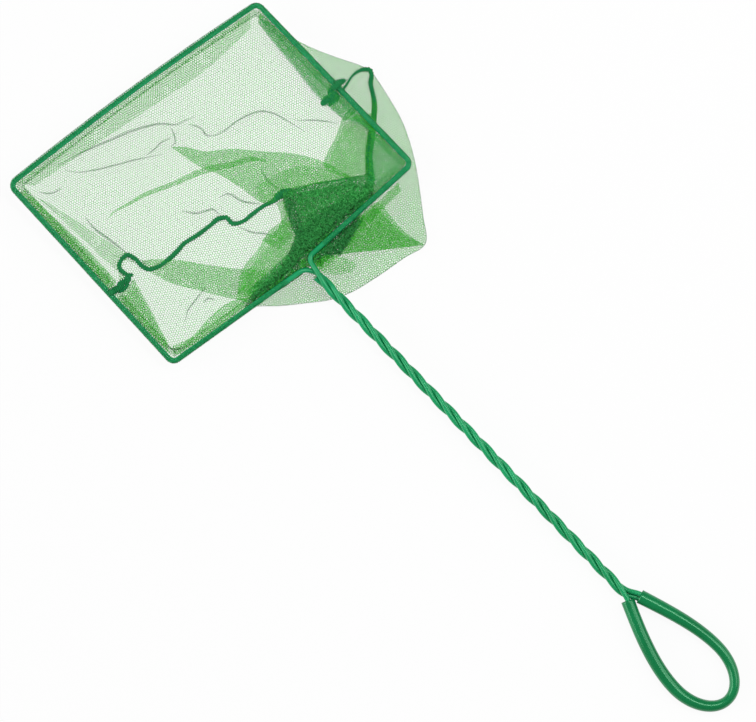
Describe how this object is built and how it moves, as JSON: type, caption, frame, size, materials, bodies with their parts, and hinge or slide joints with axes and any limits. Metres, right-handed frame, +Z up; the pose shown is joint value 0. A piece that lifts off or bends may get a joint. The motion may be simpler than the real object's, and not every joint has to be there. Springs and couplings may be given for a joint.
{
  "type": "aquarium fish net",
  "caption": "Fish net: wire hoop carrying a slack netting bag, a handle twisted from coated wire, and a tube-sleeved hanging loop.",
  "frame": {"origin": "middle of the base of the whole net as it lies on a table", "axes": "+X from the hoop along the handle to the hanging loop, +Y across the hoop, +Z up from the table"},
  "size_m": [0.4378, 0.1748, 0.0136],
  "materials": {
    "steel_core": "drawn wire, seen only at the cut ends",
    "wire_coating": "glossy soft coating",
    "grip_tube": "glossy soft tube",
    "netting": "fine knitted netting",
    "thread": "spun thread"
  },
  "bodies": {
    "root": {"hoop_wire_core": "steel_core", "hoop_wire_coating": "wire_coating", "right_strand_wire_core": "steel_core", "right_strand_wire_coating": "wire_coating", "left_strand_wire_core": "steel_core", "left_strand_wire_coating": "wire_coating", "return_strand_wire_core": "steel_core", "return_strand_wire_coating": "wire_coating", "loop_wire_core": "steel_core", "loop_wire_coating": "wire_coating", "loop_grip_tube": "grip_tube", "far_net_panel": "netting", "near_net_panel": "netting", "far_hem_sleeve": "netting", "near_left_hem_sleeve": "netting", "near_right_hem_sleeve": "netting", "bag_seam": "thread", "far_hem_stitches": "thread", "near_hem_stitches": "thread", "left_seam_tack": "thread", "right_seam_tack": "thread"}
  },
  "joints": []
}
